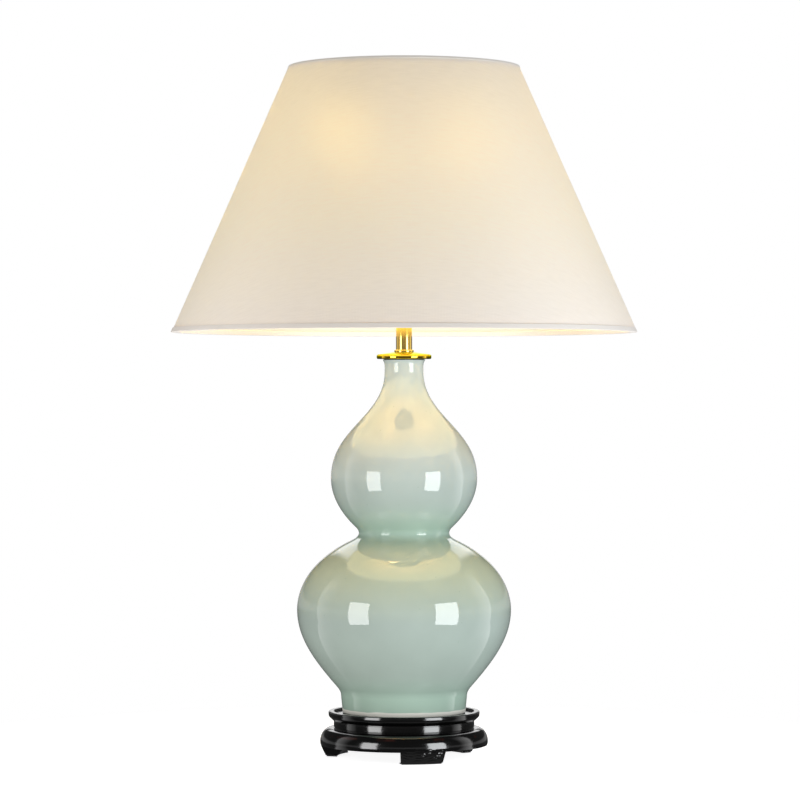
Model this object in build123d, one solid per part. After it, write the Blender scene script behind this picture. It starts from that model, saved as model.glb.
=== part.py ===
from build123d import *
import os
from math import asin, cos, degrees, hypot, radians, sin, tan

# Table lamp: a glazed double gourd on a three-footed turned stand, with a brass stem,
# a two-bulb cluster and a tapered lined shade. Millimetres, +Z up, front towards -Y.
# The origin is on the floor, under the lamp's axis. R and r are radii from that axis.

# ---- shared clearances ----
fit_gap = 0.05  # radial, between pieces that slide together once
running_gap = 0.07  # radial, where one piece turns or slides on another
overcut = 1.0  # how far a cut runs past the face that it opens
felt = 1.0
felt_inset = 0.8  # felt ends this far inside the edge above it

# ---- stand, turned wood ----
pad_thickness = 1.0
foot_height = 12.1  # floor to the apron's lower edge
foot_width = 45.5
foot_corner = 3.0
foot_bearings = (13.4, 134.0, 255.0)  # degrees from the front towards +X
foot_toe_r = 77.4
foot_heel_r = 65.4
apron_height = 18.4
apron_r = 83.0
apron_belly = 4.9  # the widest ring, above the apron's lower edge
apron_edge_r = 82.4
apron_shoulder_r = 73.5
apron_inner_r = 55.6
apron_belly_pull = (0, 6.5)  # the steps that the face leaves the belly by
apron_shoulder_pull = (-6.0, 0.6)  # and reaches the shoulder by
waist_height = 7.3
waist_r = 69.5
waist_inner_r = 58.0
groove_depth = 0.6
groove_height = 0.8
gallery_height = 7.6
gallery_r = 74.7
gallery_foot_r = 70.0
gallery_round = 3.2
gallery_corner = 1.4
recess_depth = 2.2
recess_r = 69.2
board_spigot = 6.0  # the board's centre hangs this far into the waist

# ---- gourd, glazed ceramic; heights are above its own foot ----
gourd_height = 348.0
gourd_wall = 5.0
gourd_floor = 7.0
gourd_foot_r = 61.2
gourd_floor_r = 46.2
gourd_rod_gap = 2.0
gourd_foot_hollow = 3.0
gourd_foot_rim = 7.0
gourd_foot_straight = 6.0
gourd_foot_top = (62.4, 17.5)
gourd_foot_corner = (66.0, 24.8)
lower_belly = (105.8, 101.3)
waist_low = (52.0, 169.8)
waist_high = (46.8, 181.7)
upper_belly = (72.4, 231.3)
gourd_neck_r = 19.2
gourd_neck_drop = 11.7  # the narrowest ring, below the lip
gourd_lip_r = 21.2

# ---- brass and hardware on the axis ----
felt_ring_width = 6.0
cap_r = 27.1
cap_height = 6.7
cap_rim_height = 4.4
cap_corner = 1.6
cap_seat = 1.55  # flat brass left round the collar
stem_r = 8.0
stem_wall = 1.0
stem_length = 88.1
collar_height = 2.5
collar_wall = 1.6
collar_corner = 0.9
rod_r = 4.95
rod_bore_r = 3.5
rod_tail = 2.8  # the tie rod's end, below its nut
rod_in_cluster = 6.0
washer_r = 19.0
washer_thickness = 1.8
lock_washer_r = 9.0
lock_washer_thickness = 1.2
lock_washer_gap = 1.2
nut_flats = 19.0
nut_height = 6.0
bush_flange_r = 6.4
bush_flange = 2.0
bush_spigot = 8.0
bush_bore_r = 2.8
neck_bush_height = 11.0

# ---- cluster and sockets ----
cluster_r = 24.0
cluster_wall = 2.5
cluster_chamfer = 2.0
cluster_boss_wall = 3.0
cluster_drum = 16.0
cluster_neck_r = 9.0
cluster_neck = 3.0
cluster_turn = 20.0  # degrees, right socket turned away from the front
socket_tilt = 22.0  # degrees from upright
socket_offset = 17.0  # where a socket's axis leaves the cluster's shoulder
nipple_r = 4.9
nipple_bore_r = 3.4
nipple_sink = 7.0
nipple_reach = 9.0
cap_start = 4.0  # along the socket's axis, from the shoulder
socket_cap_length = 18.0
socket_cap_dome = 9.9  # height of its domed part
socket_cap_pull = 5.0  # how far the dome keeps its first and last heading
socket_cap_foot_r = 9.0
socket_cap_wall = 0.9
shell_r = 16.0
shell_wall = 0.6
shell_length = 44.0
shell_in_cap = 6.0
shell_lip_r = 17.4
shell_lip = 1.8
liner_wall = 0.7
liner_short = 2.0
block_length = 18.0
screw_wall = 0.5
screw_length = 23.5
contact_r = 4.0
contact_height = 1.5
contact_chamfer = 1.0
guide_r = 4.0
guide_reach = 8.6
guide_height = 11.0  # above the socket shell's lower end
guide_bore_r = 1.5
chain_stand_off = 5.5  # the chain's line, out from the shell
chain_headroom = 0.5  # above the chain's end in its guide

# ---- bulbs and pull chains ----
bulb_base_r = 13.0
bulb_base_length = 22.0
bulb_base_wall = 0.5
bulb_base_chamfer = 2.0
bulb_button_r = 2.5
bulb_tip_r = 4.6
bulb_tip_height = 3.5
bulb_glass_r = 30.0
bulb_glass_wall = 0.8
bulb_length = 110.0
bulb_shoulder = -35.0  # degrees above the horizontal where the round top ends
bulb_shoulder_pull = 16.0  # how far the outline keeps its heading there
bulb_neck_pull = 14.0  # and at the neck
chain_r = 1.1
chain_length = 74.0
chain_in_guide = 3.5
bell_r = 3.8
bell_height = 12.0
bell_top_r = 1.5
bell_lip = 2.0
bell_pull = 4.0
bell_mouth_r = 2.8

# ---- riser, spider, finial ----
riser_r = 4.8
riser_length = 142.5  # cluster's neck to the spider's seat
stud_r = 3.15
stud_length = 16.4
stud_chamfer = 1.0
seat_washer_r = 8.5
seat_washer = 1.5
hub_r = 13.0
hub_thickness = 2.5
hub_drop = 22.2  # shade's top edge, above the hub's upper face
arm_count = 3
arm_r = 1.6
arm_start_bearing = 90.0  # degrees from +X
finial_height = 20.0
finial_foot_r = 8.0
finial_foot_edge = 1.6
finial_neck_r = 4.6  # the radius that the neck's curve heads for from the foot
finial_neck_rise = 0.6  # and its rise on the way
finial_ball_pull = 2.0
finial_ball_r = 7.6
finial_under = -50.0  # degrees above the horizontal where the ball meets the neck
finial_stud_gap = 1.2  # between the stud's end and the end of the finial's hole

# ---- shade ----
shade_top_r = 114.3
shade_bottom_r = 229.1
shade_height = 260.3
cover_thickness = 0.8
liner_thickness = 0.6
wire_r = 2.0
hem_thickness = 0.7
hem_width = 5.0

# ---- heights that follow from the sizes above ----
apron_top = foot_height + apron_height
waist_top = apron_top + waist_height
gallery_top = waist_top + gallery_height
recess_floor = gallery_top - recess_depth
gourd_z = recess_floor + felt
gourd_top = gourd_z + gourd_height
cap_z = gourd_top + felt
cap_top = cap_z + cap_height
cluster_z = cap_top + stem_length
shoulder_z = cluster_z + cluster_drum
shoulder_rise = (cluster_r - cluster_neck_r) * tan(radians(socket_tilt))
cluster_top = shoulder_z + shoulder_rise + cluster_neck
outlet_z = shoulder_z + (cluster_r - socket_offset) * tan(radians(socket_tilt))
seat_z = cluster_top + riser_length
hub_z = seat_z + seat_washer
hub_top = hub_z + hub_thickness
shade_top = hub_top + hub_drop
board_underside = waist_top - board_spigot
washer_z = board_underside - washer_thickness
lock_washer_z = washer_z - lock_washer_thickness
nut_z = lock_washer_z - nut_height
rod_z = nut_z - rod_tail
neck_bore_r = gourd_neck_r - gourd_wall
collar_r = stem_r + fit_gap + collar_wall
hub_bore_r = stud_r + running_gap

# The gourd's outline from the lip to the foot. At each point: its (r, height), the
# heading in degrees above the horizontal, and how far the outline keeps that heading
# before and after the point.
gourd_points = [
    ((gourd_lip_r, gourd_height), -135, 0, 3.5),
    ((gourd_neck_r, gourd_height - gourd_neck_drop), -90, 5.0, 44.1),
    (upper_belly, -90, 50.0, 27.9),
    (waist_high, -130, 2.8, 7.0),
    (waist_low, -25, 7.0, 41.4),
    (lower_belly, -90, 24.0, 28.0),
    (gourd_foot_corner, -131, 34.5, 3.0),
    (gourd_foot_top, -95, 2.5, 3.5),
    ((gourd_foot_r, gourd_foot_straight), -90, 3.5, 0),
]

# Which way each socket leans, in degrees from +X.
sides = {"right": cluster_turn, "left": cluster_turn + 180}

# Along a socket's axis, from the shoulder.
shell_start = cap_start + socket_cap_length - shell_in_cap
shell_end = shell_start + shell_length
cap_inner_floor = cap_start + 2 * socket_cap_wall
liner_r = shell_r - shell_wall
block_r = liner_r - liner_wall
screw_start = shell_start + block_length
bulb_start = screw_start + contact_height
base_start = bulb_start + bulb_tip_height
glass_start = base_start + bulb_base_length
bulb_centre = bulb_start + bulb_length - bulb_glass_r
guide_z = shell_start + guide_height
chain_line = shell_r + chain_stand_off

# A pull chain hangs upright from its guide: its line's radius and its top end.
chain_run = (
    socket_offset
    + chain_line * cos(radians(socket_tilt))
    + guide_z * sin(radians(socket_tilt))
)
chain_top = (
    outlet_z
    + guide_z * cos(radians(socket_tilt))
    - chain_line * sin(radians(socket_tilt))
    + chain_in_guide
)

# The shade's slope.
slope_run = shade_bottom_r - shade_top_r
slope_length = hypot(slope_run, shade_height)
slope_sin = slope_run / slope_length
slope_cos = shade_height / slope_length
wall_thickness = cover_thickness + liner_thickness
wire_depth = wall_thickness + wire_r


# ---- helpers ----
def at(point):
    """A point (r, z) of a turned outline, in the XZ plane."""
    return (point[0], 0, point[1])


def turned(*points):
    """A solid turned about the axis from a closed outline of (r, z) points."""
    outline = Polyline(*[at(p) for p in points], close=True)
    return revolve(make_face(outline), Axis.Z)


def turned_round(points, corners, radius):
    """As turned, with the outline's corners at the given points rounded."""
    face = make_face(Polyline(*[at(p) for p in points], close=True))
    chosen = [
        v
        for v in face.vertices()
        if any(hypot(v.X - r, v.Z - z) < 1e-4 for r, z in corners)
    ]
    return revolve(fillet(chosen, radius), Axis.Z)


def ring(inner, outer, low, high):
    """A plain ring or tube between two radii and two heights."""
    return turned((inner, low), (outer, low), (outer, high), (inner, high))


def rod(radius, low, high):
    """A plain round rod on the axis."""
    return turned((0, low), (radius, low), (radius, high), (0, high))


def heading(angle, length):
    """A step of the given length, its angle in degrees above the horizontal."""
    return (length * cos(radians(angle)), length * sin(radians(angle)))


def stretch(start, first, end, last):
    """A smooth outline stretch that leaves start by the step first and
    arrives at end by the step last."""
    second = (start[0] + first[0], start[1] + first[1])
    third = (end[0] - last[0], end[1] - last[1])
    return Bezier(at(start), at(second), at(third), at(end))


def arc(centre_z, radius, start, end):
    """A round outline stretch about a point of the axis, between two angles in
    degrees above the horizontal."""
    turns = (start, (start + end) / 2, end)
    steps = [heading(turn, radius) for turn in turns]
    return ThreePointArc(*[at((run, centre_z + rise)) for run, rise in steps])


# ---- stand ----
def feet():
    """Three bracket feet: a turned skirt cut to the feet's width, with rounded toes."""
    skirt = turned(
        (apron_inner_r, foot_height),
        (foot_heel_r, pad_thickness),
        (foot_toe_r, pad_thickness),
        (apron_edge_r, foot_height),
    )
    height = 2 * (foot_height - pad_thickness)
    blank = RectangleRounded(foot_width, height, foot_corner)
    blade = extrude(Plane.XZ * blank, apron_r)
    blade = Pos(0, 0, foot_height) * blade
    return [skirt & (Rot(Z=bearing) * blade) for bearing in foot_bearings]


def stand_apron():
    """The base ring with its bulging face, and the three feet carved below it."""
    belly = (apron_r, foot_height + apron_belly)
    shoulder = (apron_shoulder_r, apron_top)
    face = make_face(
        [
            Line(at((apron_inner_r, apron_top)), at((apron_inner_r, foot_height))),
            Line(at((apron_inner_r, foot_height)), at((apron_edge_r, foot_height))),
            Line(at((apron_edge_r, foot_height)), at(belly)),
            stretch(belly, apron_belly_pull, shoulder, apron_shoulder_pull),
            Line(at(shoulder), at((apron_inner_r, apron_top))),
        ]
    )
    apron = revolve(face, Axis.Z)
    for foot in feet():
        apron += foot
    return apron


def foot_pads():
    """A felt pad under each foot, cut a little smaller than the foot."""
    band = ring(foot_heel_r + felt_inset, foot_toe_r - felt_inset, 0, pad_thickness)
    flat = Rectangle(foot_width - 2 * foot_corner, 2 * pad_thickness)
    blade = extrude(Plane.XZ * flat, apron_r)
    pads = [band & (Rot(Z=bearing) * blade) for bearing in foot_bearings]
    return Compound(children=[pad.solid() for pad in pads])


def stand_waist():
    """The narrow ring between the apron and the gallery, with two turned grooves."""
    waist = ring(waist_inner_r, waist_r, apron_top, waist_top)
    for low in (apron_top, waist_top - groove_height):
        high = low + groove_height
        waist -= ring(waist_r - groove_depth, waist_r + overcut, low, high)
    return waist


def stand_gallery():
    """The top board with its raised rim, and the spigot that fits in the waist."""
    outline = [
        (rod_r + fit_gap, board_underside),
        (waist_inner_r, board_underside),
        (waist_inner_r, waist_top),
        (gallery_foot_r, waist_top),
        (gallery_r, waist_top + gallery_round),
        (gallery_r, gallery_top),
        (recess_r, gallery_top),
        (recess_r, recess_floor),
        (rod_r + fit_gap, recess_floor),
    ]
    corners = [(gallery_r, waist_top + gallery_round), (gallery_r, gallery_top)]
    return turned_round(outline, corners, gallery_corner)


# ---- gourd ----
def gourd_outline():
    """The outer outline from the lip down to the foot, as smooth stretches."""
    stretches = []
    for here, there in zip(gourd_points, gourd_points[1:]):
        start, angle, _, after = here
        end, end_angle, before, _ = there
        steps = (heading(angle, after), heading(end_angle, before))
        stretches.append(stretch(start, steps[0], end, steps[1]))
    return stretches


def inset_points(curve, depth, shares):
    """Points a depth inside a downward outline curve, at shares of its length."""
    points = []
    for share in shares:
        here = curve @ share
        way = curve % share
        points.append((here.X + depth * way.Z, here.Z - depth * way.X))
    return points


def gourd_vase():
    """The hollow gourd: even wall, open neck, foot ring and a hole for the tie rod."""
    outer = gourd_outline()
    foot_end = at((gourd_foot_r, 0))
    axis_foot = at((0, 0))
    axis_top = at((0, gourd_height))
    closing = [
        Line(outer[-1] @ 1, foot_end),
        Line(foot_end, axis_foot),
        Line(axis_foot, axis_top),
        Line(axis_top, outer[0] @ 0),
    ]
    body = revolve(make_face(outer + closing), Axis.Z)
    body -= revolve(make_face(hollow_outline(outer)), Axis.Z)
    body -= rod(gourd_foot_r - gourd_foot_rim, 0, gourd_foot_hollow)
    body -= rod(rod_r + gourd_rod_gap, 0, gourd_foot_hollow + gourd_floor)
    return Pos(0, 0, gourd_z) * body


def hollow_outline(outer):
    """The hollow's closed outline: one smooth line a wall inside the outer stretches
    from the neck to the foot's corner, then the flat floor and the neck's bore."""
    fifths = (0.0, 0.2, 0.4, 0.6, 0.8)
    inner = []
    for curve, shares in zip(outer[1:6], (fifths, fifths, (0.0, 0.5), fifths, fifths)):
        inner += inset_points(curve, gourd_wall, shares)
    corner_r, corner_z = gourd_foot_corner
    inner.append((corner_r - 2 * gourd_wall, corner_z - gourd_wall))
    wall = Spline(*[at(p) for p in inner])
    floor_z = gourd_foot_hollow + gourd_floor
    floor_edge = at((gourd_floor_r, floor_z))
    floor_middle = at((0, floor_z))
    neck_top = at((inner[0][0], gourd_height))
    axis_top = at((0, gourd_height))
    return [
        Line(axis_top, neck_top),
        Line(neck_top, wall @ 0),
        wall,
        Line(wall @ 1, floor_edge),
        Line(floor_edge, floor_middle),
        Line(floor_middle, axis_top),
    ]


def foot_felt():
    """The felt ring under the gourd's foot, in the gallery's recess."""
    outer = gourd_foot_r - felt_inset
    return ring(outer - felt_ring_width, outer, recess_floor, gourd_z)


def neck_bush():
    """A plastic bush that centres the tie rod in the gourd's neck."""
    return ring(rod_r + fit_gap, neck_bore_r, cap_z - felt - neck_bush_height, gourd_top)


def neck_felt():
    """The felt ring between the gourd's lip and the brass cap."""
    return ring(neck_bore_r, gourd_lip_r - felt_inset, gourd_top, cap_z)


# ---- tie rod and its fastening ----
def tie_rod():
    """The hollow threaded rod that clamps stand, gourd, cap, stem and cluster."""
    return ring(rod_bore_r, rod_r, rod_z, cluster_z + cluster_wall + rod_in_cluster)


def rod_washer():
    """The wide washer under the stand's board."""
    return ring(rod_r + fit_gap, washer_r, washer_z, board_underside)


def rod_lock_washer():
    """The split lock washer, with its gap."""
    washer = ring(rod_r + fit_gap, lock_washer_r, lock_washer_z, washer_z)
    size = (2 * lock_washer_r, lock_washer_gap, 3 * lock_washer_thickness)
    gap = Box(*size, align=(Align.MIN, Align.CENTER, Align.CENTER))
    return washer - Pos(0, 0, lock_washer_z) * gap


def rod_nut():
    """The hexagonal nut at the tie rod's lower end."""
    hexagon = RegularPolygon(nut_flats / 2, 6, major_radius=False)
    blank = Pos(0, 0, nut_z) * extrude(hexagon, nut_height)
    return blank - rod(rod_r, nut_z - overcut, lock_washer_z + overcut)


def cord_bush():
    """The plastic bush in the rod's lower end, where a cord would enter."""
    flange = ring(bush_bore_r, bush_flange_r, rod_z - bush_flange, rod_z)
    spigot = ring(bush_bore_r, rod_bore_r, rod_z, rod_z + bush_spigot)
    return flange + spigot


# ---- brass cap and stem ----
def vase_cap():
    """The turned brass cap: a rounded rim and a low domed top."""
    rim_top = cap_z + cap_rim_height
    inner = rod_r + fit_gap
    outline = [
        (inner, cap_z),
        (cap_r, cap_z),
        (cap_r, rim_top),
        (collar_r + cap_seat, cap_top),
        (inner, cap_top),
    ]
    return turned_round(outline, [(cap_r, cap_z), (cap_r, rim_top)], cap_corner)


def stem_collar():
    """The small brass collar round the stem's foot."""
    inner = stem_r + fit_gap
    top = cap_top + collar_height
    outline = [(inner, cap_top), (collar_r, cap_top), (collar_r, top), (inner, top)]
    return turned_round(outline, [(collar_r, top)], collar_corner)


def stem_tube():
    """The brass tube that covers the tie rod between cap and cluster."""
    return ring(stem_r - stem_wall, stem_r, cap_top, cluster_z)


# ---- cluster ----
def cluster_body():
    """The brass cup that takes the tie rod and holds the wiring."""
    inner = cluster_r - cluster_wall
    floor = cluster_z + cluster_wall
    boss = rod_r + cluster_boss_wall
    return turned(
        (rod_r, cluster_z),
        (cluster_r - cluster_chamfer, cluster_z),
        (cluster_r, cluster_z + cluster_chamfer),
        (cluster_r, shoulder_z),
        (inner, shoulder_z),
        (inner, floor),
        (boss, floor),
        (boss, floor + rod_in_cluster),
        (rod_r, floor + rod_in_cluster),
    )


def cluster_cover():
    """The conical lid with a neck for the riser and two tilted outlets."""
    rise = shoulder_z + shoulder_rise
    lid = turned(
        (riser_r, shoulder_z),
        (cluster_r, shoulder_z),
        (cluster_neck_r, rise),
        (cluster_neck_r, cluster_top),
        (riser_r, cluster_top),
    )
    for side in sides:
        lid -= place(side) * rod(nipple_r, -nipple_sink - overcut, nipple_reach)
    return lid


# ---- sockets, modelled upright and then placed on the cluster ----
def place(side):
    """Where a socket's foot sits on the cluster's shoulder, and how it leans."""
    turn = Pos(0, 0, outlet_z) * Rot(Z=sides[side])
    return turn * Pos(socket_offset, 0, 0) * Rot(Y=socket_tilt)


def socket_nipple():
    """The short threaded tube that joins a socket to the cluster."""
    return ring(nipple_bore_r, nipple_r, -nipple_sink, nipple_reach)


def socket_cap():
    """The domed brass cup at the socket's foot."""
    outer = shell_r + socket_cap_wall
    top = cap_start + socket_cap_length
    dome_end = (outer, cap_start + socket_cap_dome)
    foot = (socket_cap_foot_r, cap_start)
    face = make_face(
        [
            Line(at((nipple_r, cap_start)), at(foot)),
            stretch(foot, (socket_cap_pull, 0), dome_end, (0, socket_cap_pull)),
            Line(at(dome_end), at((outer, top))),
            Line(at((outer, top)), at((shell_r, top))),
            Line(at((shell_r, top)), at((shell_r, shell_start))),
            Line(at((shell_r, shell_start)), at((nipple_r, cap_inner_floor))),
            Line(at((nipple_r, cap_inner_floor)), at((nipple_r, cap_start))),
        ]
    )
    return revolve(face, Axis.Z)


def socket_shell():
    """The brass sleeve with its rolled lip and the pull chain's guide."""
    sleeve = turned(
        (liner_r, shell_start),
        (shell_r, shell_start),
        (shell_r, shell_end - shell_lip),
        (shell_lip_r, shell_end - shell_lip),
        (shell_lip_r, shell_end),
        (liner_r, shell_end),
    )
    start = shell_r - shell_wall / 2
    guide = Cylinder(
        guide_r, guide_reach, align=(Align.CENTER, Align.CENTER, Align.MIN)
    )
    guide = Pos(start, 0, guide_z) * Rot(Y=90) * guide
    return sleeve + guide


def socket_liner():
    """The fibre sleeve that insulates the shell."""
    return ring(block_r, liner_r, shell_start, shell_end - liner_short)


def socket_block():
    """The moulded block that holds the switch, between cap and screw shell."""
    return ring(nipple_bore_r, block_r, shell_start, screw_start)


def socket_screw_shell():
    """The brass cup, open at both ends, that the bulb screws into."""
    inner = bulb_base_r + running_gap
    return ring(inner, inner + screw_wall, screw_start, screw_start + screw_length)


def socket_contact():
    """The sprung centre contact at the bottom of the screw shell."""
    top = screw_start + contact_height
    return turned(
        (0, screw_start),
        (contact_r, screw_start),
        (contact_r - contact_chamfer, top),
        (0, top),
    )


# ---- bulbs ----
def bulb_base():
    """The plated screw base, a thin cup open upwards."""
    inner = bulb_base_r - bulb_base_wall
    return turned(
        (bulb_tip_r, base_start),
        (bulb_base_r - bulb_base_chamfer, base_start),
        (bulb_base_r, base_start + bulb_base_chamfer),
        (bulb_base_r, glass_start),
        (inner, glass_start),
        (inner, base_start + bulb_base_chamfer + bulb_base_wall),
        (bulb_tip_r, base_start + 2 * bulb_base_wall),
    )


def bulb_tip():
    """The insulator and the centre contact at the base's end."""
    top = base_start + 2 * bulb_base_wall
    return turned(
        (0, bulb_start),
        (bulb_button_r, bulb_start),
        (bulb_tip_r, base_start - 2 * bulb_base_wall),
        (bulb_tip_r, top),
        (0, top),
    )


def glass_outline(inset):
    """Outline of the pear-shaped envelope, at a depth inside its outer face."""
    radius = bulb_glass_r - inset
    run, rise = heading(bulb_shoulder, radius)
    join = (run, bulb_centre + rise)
    neck = (bulb_base_r - inset, glass_start)
    leave = heading(bulb_shoulder - 90, bulb_shoulder_pull)
    sweep = stretch(join, leave, neck, heading(-90, bulb_neck_pull))
    return [arc(bulb_centre, radius, 90, bulb_shoulder), sweep]


def glass_solid(inset):
    """The envelope's outer or inner form as a solid."""
    outline = glass_outline(inset)
    neck = outline[-1] @ 1
    foot = at((0, glass_start))
    closing = [Line(neck, foot), Line(foot, outline[0] @ 0)]
    return revolve(make_face(outline + closing), Axis.Z)


def bulb_glass():
    """The frosted glass envelope, open where the base closes it."""
    return glass_solid(0) - glass_solid(bulb_glass_wall)


# ---- pull chains ----
def chain_place(side):
    """The upright line that a pull chain hangs on."""
    return Rot(Z=sides[side]) * Pos(chain_run, 0, chain_top)


def chain_slot():
    """The upright hole in the guide, a little wider than the chain."""
    return rod(guide_bore_r, -2 * guide_reach, chain_headroom)


def pull_chain():
    """The beaded chain, as a plain rod of its outer width."""
    return rod(chain_r, -chain_length, 0)


def pull_bell():
    """The turned brass bell on the chain's end."""
    high = -chain_length
    low = high - bell_height
    shoulder = (bell_top_r, high)
    lip = (bell_r, low + bell_lip)
    face = make_face(
        [
            Line(at((0, high)), at(shoulder)),
            stretch(shoulder, (0, -bell_pull), lip, (0, -bell_pull)),
            Line(at(lip), at((bell_mouth_r, low))),
            Line(at((bell_mouth_r, low)), at((0, low))),
            Line(at((0, low)), at((0, high))),
        ]
    )
    return revolve(face, Axis.Z)


# ---- riser, seat and finial ----
def riser_rod():
    """The riser from the cluster to the spider's seat, with its thin upper stud."""
    stud_top = hub_top + stud_length
    return turned(
        (0, shoulder_z),
        (riser_r, shoulder_z),
        (riser_r, seat_z),
        (stud_r, seat_z),
        (stud_r, stud_top - stud_chamfer),
        (stud_r - stud_chamfer, stud_top),
        (0, stud_top),
    )


def seat_washer_ring():
    """The washer that the spider turns on."""
    return ring(stud_r + running_gap, seat_washer_r, seat_z, hub_z)


def finial():
    """The turned brass finial with a blind hole for the stud."""
    top = hub_top + finial_height
    ball_z = top - finial_ball_r
    run, rise = heading(finial_under, finial_ball_r)
    under = (run, ball_z + rise)
    foot = (finial_foot_r, hub_top)
    edge = (finial_foot_r, hub_top + finial_foot_edge)
    off_edge = (finial_neck_r - finial_foot_r, finial_neck_rise)
    into_ball = heading(finial_under + 90, finial_ball_pull)
    face = make_face(
        [
            Line(at((0, hub_top)), at(foot)),
            Line(at(foot), at(edge)),
            stretch(edge, off_edge, under, into_ball),
            arc(ball_z, finial_ball_r, finial_under, 90),
            Line(at((0, top)), at((0, hub_top))),
        ]
    )
    hole = rod(hub_bore_r, hub_top, hub_top + stud_length + finial_stud_gap)
    return revolve(face, Axis.Z) - hole


# ---- shade ----
def wall_point(along, depth):
    """A point of the shade's wall: along is the distance down the slope from the top
    edge, and depth the distance inwards from the cover's outer face."""
    radius = shade_top_r + along * slope_sin - depth * slope_cos
    height = shade_top - along * slope_cos - depth * slope_sin
    return (radius, height)


def wall_band(along_from, along_to, depth_from, depth_to):
    """A cone-shaped band of the wall."""
    return turned(
        wall_point(along_from, depth_from),
        wall_point(along_to, depth_from),
        wall_point(along_to, depth_to),
        wall_point(along_from, depth_to),
    )


def wire_ring(along):
    """A round wire ring just inside the wall."""
    radius, height = wall_point(along, wire_depth)
    return Pos(0, 0, height) * Torus(radius, wire_r)


def shade_cover():
    """The fabric laminated on the liner."""
    return wall_band(0, slope_length, 0, cover_thickness)


def shade_liner():
    """The stiff translucent liner that carries the fabric."""
    return wall_band(0, slope_length, cover_thickness, wall_thickness)


def hem(edge, inward):
    """A folded tape round a ring and the wall's edge; inward is 1 at the top edge
    and -1 at the bottom edge."""
    inside = wall_thickness + 2 * wire_r
    ends = sorted((edge - inward * hem_thickness, edge + inward * hem_width))
    blank = wall_band(*ends, -hem_thickness, inside + hem_thickness)
    channel = sorted((edge, edge + inward * (hem_width + overcut)))
    return blank - wall_band(*channel, 0, inside)


def spider_arms():
    """The arms from the hub's edge up to the middle of the top ring's wire."""
    ring_r, ring_z = wall_point(wire_r, wire_depth)
    start_r = hub_r - arm_r
    start_z = (hub_z + hub_top) / 2
    run = hypot(ring_r - start_r, ring_z - start_z)
    lean = degrees(asin((ring_z - start_z) / run))
    arm = Pos(start_r, 0, start_z) * Rot(Y=90 - lean) * rod(arm_r, 0, run)
    bearings = [arm_start_bearing + n * 360 / arm_count for n in range(arm_count)]
    return [Rot(Z=bearing) * arm for bearing in bearings]


def shade_spider():
    """The hub and its arms, which end against the top ring."""
    spider = ring(hub_bore_r, hub_r, hub_z, hub_top)
    for arm in spider_arms():
        spider += arm
    return spider - shade_top_ring()


def shade_top_hem():
    """The tape round the top ring, cut where the spider's arms pass."""
    tape = hem(0, 1)
    for arm in spider_arms():
        tape -= arm
    return tape


def shade_bottom_hem():
    """The tape round the bottom ring."""
    return hem(slope_length, -1)


def shade_top_ring():
    """The top ring, which the spider's arms are welded to."""
    return wire_ring(wire_r)


def shade_bottom_ring():
    """The bottom ring, inside the lower hem."""
    return wire_ring(slope_length - wire_r)


# ---- all pieces by node name ----
def pieces():
    """Every piece of the lamp by its node's name."""
    found = {
        "foot_pads": foot_pads(),
        "stand_apron": stand_apron(),
        "stand_waist": stand_waist(),
        "stand_gallery": stand_gallery(),
        "foot_felt": foot_felt(),
        "gourd_vase": gourd_vase(),
        "neck_bush": neck_bush(),
        "neck_felt": neck_felt(),
        "vase_cap": vase_cap(),
        "stem_collar": stem_collar(),
        "stem_tube": stem_tube(),
        "tie_rod": tie_rod(),
        "rod_washer": rod_washer(),
        "rod_lock_washer": rod_lock_washer(),
        "rod_nut": rod_nut(),
        "cord_bush": cord_bush(),
        "cluster_body": cluster_body(),
        "cluster_cover": cluster_cover(),
        "riser_rod": riser_rod(),
        "seat_washer": seat_washer_ring(),
        "shade_spider": shade_spider(),
        "shade_top_ring": shade_top_ring(),
        "shade_bottom_ring": shade_bottom_ring(),
        "shade_liner": shade_liner(),
        "shade_cover": shade_cover(),
        "shade_top_hem": shade_top_hem(),
        "shade_bottom_hem": shade_bottom_hem(),
        "finial": finial(),
    }
    for side in sides:
        spot = place(side)
        hang = chain_place(side)
        found[f"socket_nipple_{side}"] = spot * socket_nipple()
        found[f"socket_cap_{side}"] = spot * socket_cap()
        found[f"socket_shell_{side}"] = spot * socket_shell() - hang * chain_slot()
        found[f"socket_liner_{side}"] = spot * socket_liner()
        found[f"socket_block_{side}"] = spot * socket_block()
        found[f"socket_screw_shell_{side}"] = spot * socket_screw_shell()
        found[f"socket_contact_{side}"] = spot * socket_contact()
        found[f"bulb_base_{side}"] = spot * bulb_base()
        found[f"bulb_tip_{side}"] = spot * bulb_tip()
        found[f"bulb_glass_{side}"] = spot * bulb_glass()
        found[f"pull_chain_{side}"] = hang * pull_chain()
        found[f"pull_bell_{side}"] = hang * pull_bell()
    return found


def main():
    """Writes one STEP file per piece."""
    os.makedirs("parts", exist_ok=True)
    for name, shape in pieces().items():
        export_step(shape, f"parts/{name}.step")


main()
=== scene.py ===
"""Double gourd table lamp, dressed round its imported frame: a celadon glazed ceramic double
gourd on a black lacquered stand with three feet, a brass cap and stem, a lit two-bulb
cluster with pull chains, and a tapered fabric shade. Metres, +Z up, front towards -Y."""
import math

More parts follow.
